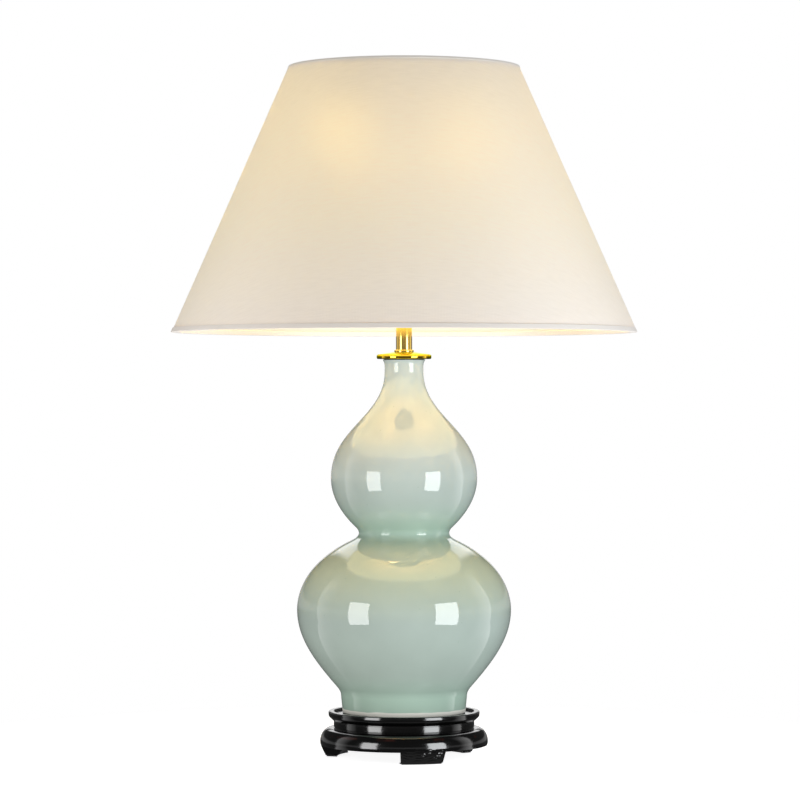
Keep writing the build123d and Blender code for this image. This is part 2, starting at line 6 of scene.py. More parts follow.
import bmesh
import bpy
import numpy as np
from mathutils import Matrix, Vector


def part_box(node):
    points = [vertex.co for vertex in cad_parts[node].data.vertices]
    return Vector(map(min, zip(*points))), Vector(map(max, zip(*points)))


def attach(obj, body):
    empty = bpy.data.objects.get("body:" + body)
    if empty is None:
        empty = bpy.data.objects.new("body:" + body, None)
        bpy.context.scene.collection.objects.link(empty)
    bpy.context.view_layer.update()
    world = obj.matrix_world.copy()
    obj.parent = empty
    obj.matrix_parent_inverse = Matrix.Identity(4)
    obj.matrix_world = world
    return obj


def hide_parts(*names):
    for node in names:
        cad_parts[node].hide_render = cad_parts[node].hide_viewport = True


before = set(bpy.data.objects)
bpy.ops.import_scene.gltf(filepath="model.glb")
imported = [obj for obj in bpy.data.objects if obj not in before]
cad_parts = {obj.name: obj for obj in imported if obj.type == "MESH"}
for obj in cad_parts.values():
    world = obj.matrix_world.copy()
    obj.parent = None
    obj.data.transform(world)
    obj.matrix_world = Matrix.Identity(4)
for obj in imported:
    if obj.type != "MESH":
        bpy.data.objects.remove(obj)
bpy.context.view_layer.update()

# ---- sizes, in millimetres: outlines are written so, and turned to metres by lathe ----
MM = 0.001


def span(node):
    """Lowest and highest height of a frame node, in millimetres."""
    low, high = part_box(node)
    return low.z / MM, high.z / MM


def reach(node):
    """Outer radius of a turned frame node that stands on the lamp's axis."""
    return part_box(node)[1].x / MM


gourd_z, gourd_top = span("gourd_vase")
board_low, gallery_top = span("stand_gallery")
recess_floor, _ = span("foot_felt")
cap_z, cap_top = span("vase_cap")
collar_top = span("stem_collar")[1]
cluster_z = span("stem_tube")[1]
shoulder_z, cluster_top = span("cluster_cover")
seat_z, hub_z = span("seat_washer")
stud_top = span("riser_rod")[1]
hub_top, finial_top = span("finial")
cap_r = reach("vase_cap")
stem_r = reach("stem_tube")
collar_r = reach("stem_collar")
gallery_r = reach("stand_gallery")
waist_r = reach("stand_waist")
cluster_r = reach("cluster_body")
finial_foot_r = reach("finial")

# The stand. Its waist and the apron's crest lie a little under the frame's.
crest_drop = 1.6
apron_top = span("stand_apron")[1] - crest_drop
waist_top = span("stand_waist")[1] - crest_drop
foot_joint = 12.1  # height where the feet leave the apron
foot_half = 22.75
foot_bearings = (13.4, 134.0, 255.0)  # degrees from the front towards +X
foot_corner, foot_edge = 1.6, 0.8  # roundings of a foot's lower corners and its sides
toe_r, heel_r = 77.4, 65.4
toe_z = 1.0  # the felt pads are under the toes
carving_top = 15.5
apron_edge_r, apron_belly_r, apron_belly_z = 82.4, 83.0, 15.3
apron_shoulder_r, apron_inner_r = 73.5, 55.6
under_outer_r, under_inner_r = 79.4, 60.0  # the flat under the apron, between the feet
board_inner_r, board_spigot_r, recess_r = 5.0, 58.0, 69.2
quirk_depth, quirk_height = 0.6, 0.8  # the small step at the waist's top and foot
quirk_r = waist_r - quirk_depth
gallery_edge = 5.1  # height of the gallery's upright edge

# The gourd's outline from the lip to the foot, above its own foot. At each point: its
# (radius, height), the heading in degrees above the horizontal, and how far the outline
# keeps that heading before and after the point.
gourd_height = gourd_top - gourd_z
gourd_wall = 5.0
foot_ring_r, foot_ring_z = 54.2, 3.0  # the hollow inside the foot ring
floor_r, floor_z = 46.2, 10.0
floor_hole_r = 6.95
gourd_points = [
    ((21.2, gourd_height), -135, 0, 3.5),
    ((19.2, gourd_height - 11.7), -90, 5.0, 44.1),
    ((72.4, 231.3), -90, 50.0, 27.9),
    ((46.8, 181.7), -130, 2.8, 7.0),
    ((52.0, 169.8), -25, 7.0, 41.4),
    ((105.8, 101.3), -90, 24.0, 28.0),
    ((66.0, 24.8), -131, 34.5, 3.0),
    ((62.4, 17.5), -95, 2.5, 3.5),
    ((61.3, 6.0), -95, 3.5, 0),
]

# The stem, the cluster and what stands on it.
rod_clear = 5.0  # radius of the holes round the tie rod
cap_flat_r, cap_bevel = collar_r + 1.55, 2.3  # the flat round the collar, and its slope
collar_bore_r = stem_r + 0.05
stem_wall = 1.0
cup_wall, cup_groove, cup_rim, cup_foot, cup_chamfer = 2.5, 0.6, 2.0, 3.6, 2.0
riser_r, stud_r = 4.8, 3.15
stud_bore_r = stud_r + 0.07  # bore of the seat, the hub and the finial
hub_r, seat_r = 13.0, 8.5
ball_r, finial_hole = 7.6, 17.0

# The sockets, along their own axis from the cluster's shoulder.
sides = {"right": 20.0, "left": 200.0}  # the way each leans, in degrees from +X
socket_lean = 22.0
socket_offset = 17.0
cluster_neck_r = 9.0
outlet_z = shoulder_z + (cluster_r - socket_offset) * math.tan(math.radians(socket_lean))
holder_r, holder_bore_r, holder_low, holder_top = 16.9, 4.9, 4.0, 22.0
shell_r, shell_wall, shell_low, shell_top = 16.0, 0.6, 16.0, 60.0
lip_r, lip_height, rib_z = 17.4, 1.8, 36.4
guide_z, guide_r, guide_reach = 27.0, 4.0, 8.6
base_low, glass_low, glass_r, glass_middle = 39.0, 61.0, 30.0, 115.5
base_r, contact_r, contact_low = 13.0, 4.6, 35.5
thread_top, thread_pitch, thread_depth = 58.0, 3.6, 0.35
chain_line = 21.5  # the pull chain's distance from the socket's axis at the guide
chain_in_guide = 3.5
chain_length, bell_length = 74.0, 12.0

# The shade.
top_r, bottom_r = 114.3, 229.1
shade_height = 260.3
shade_top = hub_top + 22.2
slope = math.hypot(bottom_r - top_r, shade_height)
slope_sin = (bottom_r - top_r) / slope
slope_cos = shade_height / slope
liner_out, liner_in, wire_r = 0.8, 1.4, 2.0
ring_inset = wire_r + 0.8  # down the slope from an edge to the middle of its ring's wire
hem_inset = 5.4  # down the slope from an edge to the end of its tape inside
overlap_width, overlap_thick = 10.0, 0.45


# ---- shapes ----
def heading(angle):
    """Unit step at an angle in degrees above the horizontal, as (radius, height)."""
    return np.array([math.cos(math.radians(angle)), math.sin(math.radians(angle))])


def stretch(a, b, c, d, steps):
    """Cubic curve: (1-t)^3 a + 3 (1-t)^2 t b + 3 (1-t) t^2 c + t^3 d, for t from 0 to 1."""
    t = np.linspace(0, 1, steps)[:, None]
    a, b, c, d = (np.array(p, float) for p in (a, b, c, d))
    return (1 - t) ** 3 * a + 3 * (1 - t) ** 2 * t * b + 3 * (1 - t) * t**2 * c + t**3 * d


def straight(a, b, share):
    """Points on the straight line from a to b, at shares of its length."""
    return np.array(a, float) + share[:, None] * (np.array(b, float) - a)


def arc(centre, radius, start, end, steps):
    """Circle points about a centre (radius, height), from one angle to another."""
    a = np.radians(np.linspace(start, end, steps))
    return np.stack([centre[0] + radius * np.cos(a), centre[1] + radius * np.sin(a)], 1)


def rounded(*corners, steps=6):
    """Closed outline through corners of (radius, height, rounding), down the outside and
    up the inside. A corner p with a rounding c gives way to the curve
    (1-t)^2 a + 2 t (1-t) p + t^2 b, where a and b lie c before and c after it. One more
    point on each side, up to 0.3 mm on, keeps the shading of the straight runs true."""
    points = np.array([corner[:2] for corner in corners], float)
    cut = np.array([corner[2] for corner in corners], float)
    t = np.linspace(0, 1, steps)[None, :, None]
    ends, guards = [], []
    for way in (1, -1):
        run = np.roll(points, way, 0) - points
        length = np.linalg.norm(run, axis=1)
        run /= length[:, None]
        spare = np.clip(length - cut - np.roll(cut, way), 0, 1.2)
        ends.append((points + cut[:, None] * run)[:, None])
        guards.append((points + (cut + 0.25 * spare)[:, None] * run)[:, None])
    (a, b), p = ends, points[:, None]
    curve = (1 - t) ** 2 * a + 2 * t * (1 - t) * p + t**2 * b
    curve = np.concatenate([guards[0], curve, guards[1]], 1).reshape(-1, 2)
    return np.vstack([curve, curve[:1]])


def polar(radius, a, height):
    """Points at a radius, an angle and a height: x = radius cos a and y = radius sin a."""
    x, y, z = np.broadcast_arrays(radius * np.cos(a), radius * np.sin(a), height)
    return np.stack([x, y, z], -1)


def lathe(profile, turns=96):
    """Surface of revolution, in metres: each (radius, height) of the profile is carried
    round the axis, and the last column of points is the first."""
    radius, height = np.asarray(profile, float).T[:, :, None] * MM
    return polar(radius, np.linspace(0, 2 * np.pi, turns + 1), height)


def laid(grid, start, along):
    """The grid with its own Z axis laid along a direction from a starting point."""
    z = np.array(along, float) / np.linalg.norm(along)
    x = np.cross((0.0, 1.0, 0.0) if abs(z[1]) < 0.9 else (1.0, 0.0, 0.0), z)
    x /= np.linalg.norm(x)
    return grid @ np.array([x, np.cross(z, x), z]) + np.array(start, float)


def on_socket(grid, side):
    """The grid moved from the upright socket axis to where that side's socket leans:
    turned about Y by the lean, moved out by the offset and turned about Z by the side."""
    lean, turn = math.radians(socket_lean), math.radians(sides[side])
    tip = np.array([[math.cos(lean), 0, math.sin(lean)], [0, 1, 0],
                    [-math.sin(lean), 0, math.cos(lean)]])
    spin = np.array([[math.cos(turn), -math.sin(turn), 0],
                     [math.sin(turn), math.cos(turn), 0], [0, 0, 1]])
    leant = grid @ tip.T + np.array([socket_offset * MM, 0, 0])
    return leant @ spin.T + np.array([0, 0, outlet_z * MM])


def put(name, data):
    """A new object with that data, in the scene."""
    made = bpy.data.objects.new(name, data)
    bpy.context.scene.collection.objects.link(made)
    return made


def piece(name, grids, material, body, replaces=(), sharp=40):
    """One piece from grids of points (rows, columns, 3). Rows run down the outside, so
    faces point outwards. Joined edges and poles are merged. The UV map holds each
    column's share of the turn, and the distance along the rows in metres."""
    points, faces, uv, first = [], [], [], 0
    for grid in grids:
        rows, columns = grid.shape[:2]
        index = first + np.arange(rows * columns).reshape(rows, columns)
        corners = [index[:-1, :-1], index[1:, :-1], index[1:, 1:], index[:-1, 1:]]
        faces.append(np.stack(corners, -1).reshape(-1, 4))
        step = np.linalg.norm(np.diff(grid, axis=0), axis=2).mean(1)
        along = np.concatenate([[0], np.cumsum(step)])
        share = np.linspace(0, 1, columns)
        uv.append(np.stack(np.meshgrid(share, along), -1).reshape(-1, 2))
        points.append(grid.reshape(-1, 3))
        first += rows * columns
    faces = np.vstack(faces)
    mesh = bpy.data.meshes.new(name)
    mesh.from_pydata(np.vstack(points).tolist(), [], faces.tolist())
    layer = mesh.uv_layers.new(name="UVMap")
    layer.data.foreach_set("uv", np.vstack(uv)[faces.ravel()].ravel())
    welded = bmesh.new()
    welded.from_mesh(mesh)
    bmesh.ops.remove_doubles(welded, verts=welded.verts, dist=1e-6)
    welded.to_mesh(mesh)
    welded.free()
    mesh.shade_smooth()
    mesh.set_sharp_from_angle(angle=math.radians(sharp))
    mesh.materials.append(material)
    made = put(name, mesh)
    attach(made, body)
    if replaces:
        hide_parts(*replaces)
    return made


# ---- material tools ----
def colour(code, share=1.0):
    """Linear colour of an sRGB hex value, times a share."""
    srgb = np.array([int(code[k : k + 2], 16) for k in (0, 2, 4)]) / 255
    linear = np.where(srgb <= 0.04045, srgb / 12.92, ((srgb + 0.055) / 1.055) ** 2.4)
    return (*(share * linear).tolist(), 1.0)


def glow(red, green, blue):
    """Colour of a light from its linear levels, which may pass 1."""
    return (red, green, blue, 1.0)


def grey(value):
    """A neutral colour of that linear value."""
    return glow(value, value, value)


def every(size):
    """Scale of a pattern whose features are that many millimetres across."""
    return 1 / (size * MM)


def add(tree, kind, inputs=(), out=0, stops=(), **settings):
    """Adds a node and gives its output of that name or number. inputs are values or other
    nodes' outputs, in the sockets' order or by socket. stops are a ramp's, and settings
    are the node's own properties."""
    made = tree.nodes.new("ShaderNode" + kind)
    for name, value in settings.items():
        setattr(made, name, value)
    for name, value in inputs.items() if isinstance(inputs, dict) else enumerate(inputs):
        if isinstance(value, bpy.types.NodeSocket):
            tree.links.new(value, made.inputs[name])
        else:
            made.inputs[name].default_value = value
    for k, (position, tone) in enumerate(stops):
        if k == len(made.color_ramp.elements):
            made.color_ramp.elements.new(1.0)
        made.color_ramp.elements[k].position = position
        made.color_ramp.elements[k].color = tone
    return made.outputs[out] if made.outputs else None


def band(tree, value, middle, outer, inner, level=1.0):
    """A level that holds within inner of a middle value and fades to nothing at outer."""
    off = add(tree, "Math", [value, middle], operation="SUBTRACT")
    off = add(tree, "Math", [off], operation="ABSOLUTE")
    return add(tree, "MapRange", [off, outer, inner, 0.0, level])


def finish(name, surface, *settings):
    """A material of that name. surface is the function that gives its shader, from the
    node tree, the place on the piece in metres, and its own settings."""
    made = bpy.data.materials.new(name)
    made.use_nodes = True
    tree = made.node_tree
    tree.nodes.clear()
    place = add(tree, "TexCoord", out="Object")
    add(tree, "OutputMaterial", {"Surface": surface(tree, place, *settings)})
    return made


# ---- materials ----
def celadon_glaze(tree, place):
    """Celadon glazed stoneware, fired in reduction. A thick clear blue-green glaze lies
    over a pale body: glassy reflections, deeper green where it pooled at the waist and
    the foot, thinner and paler at the neck, a few iron specks, and a bare biscuit rim at
    the very foot. A warmer, yellower band on the lower bulb's shoulder is painted light:
    the lamp's warm light that falls there through the shade's mouth."""
    height = add(tree, "SeparateXYZ", [place], out="Z")
    share = add(tree, "MapRange", [height, gourd_z * MM, gourd_top * MM])
    pooled, belly, pale = colour("a6bdad"), colour("acb9b0"), colour("bbc6c1")
    # shoulder is painted warm light on the lower bulb's upturned shoulder, under the shade's
    # mouth.
    low_belly, shoulder = colour("a8b7ac"), colour("bac5ae")
    tone = add(tree, "ValToRGB", [share], stops=[
        (0.0, pooled), (0.055, pooled), (0.12, low_belly), (0.27, belly), (0.40, shoulder),
        (0.46, shoulder), (0.505, pooled), (0.53, pooled), (0.60, belly), (0.72, pale),
        (1.0, pale)])
    clouds = add(tree, "TexNoise", {"Vector": place, "Scale": every(45), "Detail": 3.0,
                                    "Roughness": 0.5})
    cloudy = add(tree, "ValToRGB", [clouds], stops=[(0.3, grey(0.93)), (0.7, grey(1.0))])
    glaze = add(tree, "Mix", {0: 1.0, 6: tone, 7: cloudy}, out=2, data_type="RGBA",
                blend_type="MULTIPLY")
    specks = add(tree, "TexVoronoi", {"Vector": place, "Scale": every(12)}, out="Distance")
    speck = add(tree, "Math", [specks, 0.035], operation="LESS_THAN")
    iron = add(tree, "Mix", {0: speck, 6: glaze, 7: colour("8fa594")}, out=2, data_type="RGBA")
    # The glaze ends in a slightly wavy line over the bare rim.
    wander = add(tree, "TexNoise", {"Vector": place, "Scale": every(20)})
    line = add(tree, "Math", [wander, 2.0 * MM, (gourd_z + 3.2) * MM],
               operation="MULTIPLY_ADD")
    over_line = add(tree, "Math", [height, line], operation="SUBTRACT")
    glazed = add(tree, "MapRange", [over_line, -0.2 * MM, 0.2 * MM])
    skin = add(tree, "Mix", {0: glazed, 6: colour("dedcd2"), 7: iron}, out=2, data_type="RGBA")
    rough = add(tree, "MapRange", {"Value": glazed, "To Min": 0.75, "To Max": 0.02})
    ripple = add(tree, "TexNoise", {"Vector": place, "Scale": every(11), "Detail": 2.0,
                                    "Roughness": 0.4})
    relief = add(tree, "Bump", {"Height": ripple, "Strength": 0.5, "Distance": 0.03 * MM})
    return add(tree, "BsdfPrincipled", {
        "Base Color": skin, "Roughness": rough, "IOR": 1.6, "Normal": relief})


def black_lacquer(tree, place):
    """Turned and carved hardwood under many coats of black lacquer, rubbed to a gloss.
    The eye gets sharp but slightly broken highlights, and a faint red-brown undercoat
    in worn patches of a narrow band round the apron, a little under its crest."""
    height = add(tree, "SeparateXYZ", [place], out="Z")
    near = band(tree, height, (apron_top - 5.0) * MM, 1.5 * MM, 0.4 * MM)
    patches = add(tree, "TexNoise", {"Vector": place, "Scale": every(18), "Detail": 4.0})
    worn = add(tree, "MapRange", [patches, 0.5, 0.62])
    wear = add(tree, "Math", [near, worn], operation="MULTIPLY")
    skin = add(tree, "Mix", {0: wear, 6: colour("060606"), 7: colour("2a120d")}, out=2,
               data_type="RGBA")
    hazy = add(tree, "TexNoise", {"Vector": place, "Scale": every(8), "Detail": 5.0})
    rough = add(tree, "MapRange", {"Value": hazy, "To Min": 0.08, "To Max": 0.15})
    peel = add(tree, "TexNoise", {"Vector": place, "Scale": every(3.2), "Detail": 2.0})
    relief = add(tree, "Bump", {"Height": peel, "Strength": 0.6, "Distance": 0.05 * MM})
    return add(tree, "BsdfPrincipled", {
        "Base Color": skin, "Roughness": rough, "IOR": 1.72, "Normal": relief})


def polished_brass(tree, place, tone, low, high, edge="ffffff"):
    """Drawn and turned yellow brass, polished and clear lacquered. Sharp golden
    reflections with fine lines left by the polishing wheel round each piece. A tinted
    lacquer deepens its reflections at a low angle, which the edge colour gives."""
    stretched = add(tree, "Mapping", {"Vector": place, "Scale": (1.0, 1.0, 18.0)})
    lines = add(tree, "TexNoise", {"Vector": stretched, "Scale": every(6), "Detail": 5.0})
    rough = add(tree, "MapRange", {"Value": lines, "To Min": low, "To Max": high})
    film = add(tree, "TexNoise", {"Vector": place, "Scale": every(20), "Detail": 3.0})
    skin = add(tree, "ValToRGB", [film], stops=[(0.3, colour(tone, 0.86)),
                                                (0.65, colour(tone))])
    relief = add(tree, "Bump", {"Height": lines, "Strength": 0.08, "Distance": 0.02 * MM})
    return add(tree, "BsdfPrincipled", {
        "Base Color": skin, "Metallic": 1.0, "Roughness": rough,
        "Specular Tint": colour(edge), "Normal": relief})


def shade_fabric(tree, place, tint, spread, straight, strength):
    """Plain woven linen and cotton, laminated on a stiff liner. A matt ivory cloth whose
    slubs and threads show faintly. Of the light inside, a share spreads as it passes, and
    a small share goes nearly straight on and shows the bulbs as soft warm lobes. A glow,
    strongest at the bulbs' height, stands for the light that the laminate spreads within
    itself."""
    flat = add(tree, "UVMap", uv_map="Cloth")
    # Real threads are 0.5 mm apart. They are drawn 1.4 mm apart to show at all. At a scale
    # of 0.314 one wave is one unit long.
    threads = add(tree, "Mapping", {"Vector": flat, "Scale": (every(1.4), every(1.4), 1.0)})
    warp, weft = (
        add(tree, "TexWave", {"Vector": threads, "Scale": 0.314, "Distortion": 0.5,
                              "Detail": 1.0}, out="Fac", bands_direction=way) for way in "XY")
    weave = add(tree, "Math", [warp, weft], operation="ADD")
    slub_way = add(tree, "Mapping", {"Vector": flat, "Scale": (1.0, 11.0, 1.0)})
    slubs = add(tree, "TexNoise", {"Vector": slub_way, "Scale": every(16), "Detail": 3.0})
    uneven = add(tree, "ValToRGB", [slubs], stops=[(0.3, grey(0.965)), (0.6, grey(1.0))])
    cloth = add(tree, "Mix", {0: 1.0, 6: uneven, 7: colour(tint)}, out=2, data_type="RGBA",
                blend_type="MULTIPLY")
    through = add(tree, "ValToRGB", [slubs], stops=[(0.3, colour("f0f4a0")),
                                                    (0.65, colour("f8fca8"))])
    relief = add(tree, "Bump", {"Height": weave, "Strength": 0.25, "Distance": 0.12 * MM})
    height = add(tree, "SeparateXYZ", [place], out="Z")
    share = add(tree, "MapRange", [height, (shade_top - shade_height) * MM, shade_top * MM])
    within = add(tree, "ValToRGB", [share], stops=[
        (0.05, glow(0.12, 0.055, 0.005)), (0.4, glow(0.20, 0.125, 0.01)),
        (0.6, glow(0.205, 0.13, 0.02)), (0.8, glow(0.16, 0.10, 0.025)),
        (1.0, glow(0.125, 0.08, 0.03))])
    front = add(tree, "BsdfPrincipled", {
        "Base Color": cloth, "Roughness": 0.9, "IOR": 1.45, "Specular IOR Level": 0.2,
        "Sheen Weight": 0.15, "Sheen Roughness": 0.5, "Normal": relief,
        "Emission Color": within, "Emission Strength": strength})
    soft = add(tree, "BsdfTranslucent", {"Color": through, "Normal": relief})
    lobes = add(tree, "BsdfPrincipled", {
        "Base Color": through, "Roughness": 1.0, "IOR": 1.3, "Transmission Weight": 1.0})
    even = add(tree, "MixShader", [spread, front, soft])
    return add(tree, "MixShader", [straight, even, lobes])


def styrene_liner(tree, place):
    """White styrene sheet rolled into a cone. Smooth, faintly glossy and ivory, with the
    long soft ripples of a rolled sheet. It carries a painted glow, an emission that stands
    for the lamp's light on it and that the glaze reflects. The camera sees it dimmer than
    the glaze does, a darker copy with a weaker painted glow, so that the light on it shades
    off towards the rim instead of turning flat white."""
    ripple = add(tree, "TexNoise", {"Vector": place, "Scale": every(50), "Detail": 2.0})
    relief = add(tree, "Bump", {"Height": ripple, "Strength": 0.3, "Distance": 0.8 * MM})
    shaders = [add(tree, "LightPath", out="Is Camera Ray")]
    # Two copies with a painted glow: the brighter one for the glaze's reflections, the darker
    # and dimmer one for the camera.
    for dark, light, lit, strength in (
            ("f3e9d6", "faf3e4", glow(1.0, 1.04, 0.42), 0.62),
            ("aca99f", "b2afa5", glow(0.9, 1.0, 0.9), 0.42)):
        skin = add(tree, "ValToRGB", [ripple], stops=[(0.3, colour(dark)), (0.7, colour(light))])
        shaders.append(add(tree, "BsdfPrincipled", {
            "Base Color": skin, "Roughness": 0.4, "IOR": 1.55, "Normal": relief,
            "Emission Color": lit, "Emission Strength": strength}))
    return add(tree, "MixShader", shaders)


def frosted_glass(tree, place):
    """Acid-etched soda glass, lit from within. It reads as one warm-white form, a little
    dimmer towards the neck and the edges. The camera sees the glow far below the strength
    that lights the shade, so that the bulb keeps its form against a white background."""
    surface = add(tree, "UVMap", uv_map="UVMap")
    along = add(tree, "SeparateXYZ", [surface], out="Y")
    neckward = add(tree, "MapRange", [along, 45 * MM, 110 * MM])
    lit = add(tree, "ValToRGB", [neckward], stops=[
        (0.0, glow(1.0, 0.64, 0.25)), (1.0, glow(0.6, 0.33, 0.10))])
    etch = add(tree, "TexNoise", {"Vector": place, "Scale": every(1.5), "Detail": 2.0})
    relief = add(tree, "Bump", {"Height": etch, "Strength": 0.2, "Distance": 0.05 * MM})
    lamp = add(tree, "BsdfPrincipled", {
        "Base Color": colour("f7f2ea"), "Roughness": 0.55, "Normal": relief,
        "Emission Color": lit, "Emission Strength": 18.0})
    edge = add(tree, "LayerWeight", {"Blend": 0.35}, out="Facing")
    warm = add(tree, "ValToRGB", [edge], stops=[
        (0.0, glow(0.95, 0.80, 0.55)), (1.0, glow(0.62, 0.42, 0.20))])
    glass = add(tree, "BsdfPrincipled", {
        "Base Color": colour("8f8b84"), "Roughness": 0.35, "Normal": relief,
        "Emission Color": warm, "Emission Strength": 0.9})
    seen = add(tree, "LightPath", out="Is Camera Ray")
    return add(tree, "MixShader", [seen, lamp, glass])


def plain_metal(tree, place, tone, low, high):
    """Plated or rolled metal: a grey lustre with fine random haze."""
    haze = add(tree, "TexNoise", {"Vector": place, "Scale": every(2), "Detail": 4.0})
    rough = add(tree, "MapRange", {"Value": haze, "To Min": low, "To Max": high})
    skin = add(tree, "ValToRGB", [haze], stops=[(0.35, colour(tone, 0.8)),
                                                (0.65, colour(tone))])
    relief = add(tree, "Bump", {"Height": haze, "Strength": 0.2, "Distance": 0.03 * MM})
    return add(tree, "BsdfPrincipled", {
        "Base Color": skin, "Metallic": 1.0, "Roughness": rough, "Normal": relief})


def matt_solid(tree, place, tone, shadow, grain, depth, rough, fuzz=0.0):
    """A matt non-metal with two tones of one colour in a grain of a given size, and a
    relief of a given depth, both in millimetres: felt, fibre, enamel, phenolic or nylon."""
    mottle = add(tree, "TexNoise", {"Vector": place, "Scale": every(grain), "Detail": 6.0,
                                    "Roughness": 0.6})
    skin = add(tree, "ValToRGB", [mottle], stops=[(0.35, colour(shadow)),
                                                  (0.65, colour(tone))])
    relief = add(tree, "Bump", {"Height": mottle, "Strength": 0.6, "Distance": depth * MM})
    return add(tree, "BsdfPrincipled", {
        "Base Color": skin, "Roughness": rough, "Sheen Weight": fuzz, "Normal": relief})


glaze = finish("celadon_glaze", celadon_glaze)
lacquer = finish("black_lacquer", black_lacquer)
brass = finish("polished_brass", polished_brass, "e6c266", 0.05, 0.10)
gilt_brass = finish("gilt_brass", polished_brass, "dcb63c", 0.06, 0.12, "c2db84")
worn_brass = finish("pull_brass", polished_brass, "c9a055", 0.15, 0.28)
fabric = finish("shade_fabric", shade_fabric, "eeeceb", 0.06, 0.014, 1.0)
tape = finish("hem_tape", shade_fabric, "eceae6", 0.02, 0.0, 0.6)
liner = finish("styrene_liner", styrene_liner)
bulb_glass = finish("frosted_glass", frosted_glass)
nickel = finish("bulb_aluminium", plain_metal, "c9c9c4", 0.2, 0.4)
zinc = finish("zinc_plate", plain_metal, "b9bab6", 0.25, 0.5)
enamel = finish("white_enamel", matt_solid, "e8e5dc", "dedbd0", 4, 0.02, 0.35)
felt = finish("pressed_felt", matt_solid, "2c2b2a", "181817", 0.6, 0.2, 1.0, 0.4)
fibre = finish("vulcanised_fibre", matt_solid, "b08e60", "8d6c44", 1.2, 0.06, 0.85)
phenolic = finish("phenolic", matt_solid, "2a211c", "1b1512", 2, 0.02, 0.35)
nylon = finish("moulded_nylon", matt_solid, "26262a", "1b1b1e", 3, 0.02, 0.45)


# ---- frame nodes that keep their shape ----
kept = {
    felt: ("foot_pads", "foot_felt", "neck_felt"),
    nylon: ("neck_bush", "cord_bush"),
    zinc: ("tie_rod", "rod_washer", "rod_lock_washer", "rod_nut",
           "socket_nipple_left", "socket_nipple_right"),
    brass: ("socket_screw_shell_left", "socket_screw_shell_right",
            "socket_contact_left", "socket_contact_right"),
    fibre: ("socket_liner_left", "socket_liner_right"),
    phenolic: ("socket_block_left", "socket_block_right"),
}
for material, nodes in kept.items():
    for node in nodes:
        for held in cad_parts[node].material_slots:
            held.material = material


# ---- gourd ----
def gourd():
    """The hollow gourd. Outside: one cubic stretch between each two outline points. Then
    the foot ring, its shallow hollow and the rod's hole, and inside the same stretches
    moved in by the wall along their normals, from 26 mm up."""
    runs = []
    for here, there in zip(gourd_points, gourd_points[1:]):
        leave = np.array(here[0]) + here[3] * heading(here[1])
        arrive = np.array(there[0]) - there[2] * heading(there[1])
        runs.append(stretch(here[0], leave, arrive, there[0], 26))
    outside = np.vstack(runs)
    belly = np.vstack([run[:-1:3] for run in runs[1:6]])
    way = np.gradient(belly, axis=0)
    way /= np.linalg.norm(way, axis=1)[:, None]
    inside = belly + gourd_wall * np.stack([way[:, 1], -way[:, 0]], 1)
    inside = inside[inside[:, 1] > 26.0]
    foot = [(60.85, 0.9), (60.6, 0.25), (60.0, 0.0), (foot_ring_r + 0.7, 0.0),
            (foot_ring_r, 0.6), (foot_ring_r, foot_ring_z), (floor_hole_r, foot_ring_z),
            (floor_hole_r, floor_z), (floor_r, floor_z)]
    neck = [(inside[0, 0], gourd_height), (outside[0, 0], gourd_height)]
    profile = np.vstack([outside, foot, inside[::-1], neck])
    profile[:, 1] += gourd_z
    return lathe(profile, 224)


piece("gourd_glazed", [gourd()], glaze, "base", ["gourd_vase"])


# ---- stand ----
def drifting_clouds(across, height):
    """Low carving of drifting cloud bands on a foot, in millimetres: the ridge is the
    cosine of the height over 2.7 mm plus a wave along the foot, and it swells and sinks
    by the sine of the place across over 2.5 mm less the height over 1.9 mm. Tool marks
    are a sine across over 2.6 mm times a cosine up over 2.1 mm, each bent by the other."""
    wave = 1.6 * np.sin(2 * np.pi * across / 15.0 + 0.5) + 0.7 * np.sin(2 * np.pi * across / 6.1)
    ridge = np.cos(2 * np.pi * height / 2.7 + wave)
    swell = 0.6 + 0.4 * np.sin(across / 2.5 - height / 1.9)
    marks = np.sin(2 * np.pi * across / 2.6 + 1.3 * np.sin(height / 1.1))
    marks = marks * np.cos(2 * np.pi * height / 2.1 + across / 1.5)
    return 0.26 * ridge * swell + 0.08 * marks


def round_off(radius, from_side):
    """How far a rounded edge falls away at a distance from the side: the radius less the
    root of the radius squared less the square of the radius less the distance."""
    return radius - np.sqrt(radius**2 - np.clip(radius - from_side, 0, None) ** 2)


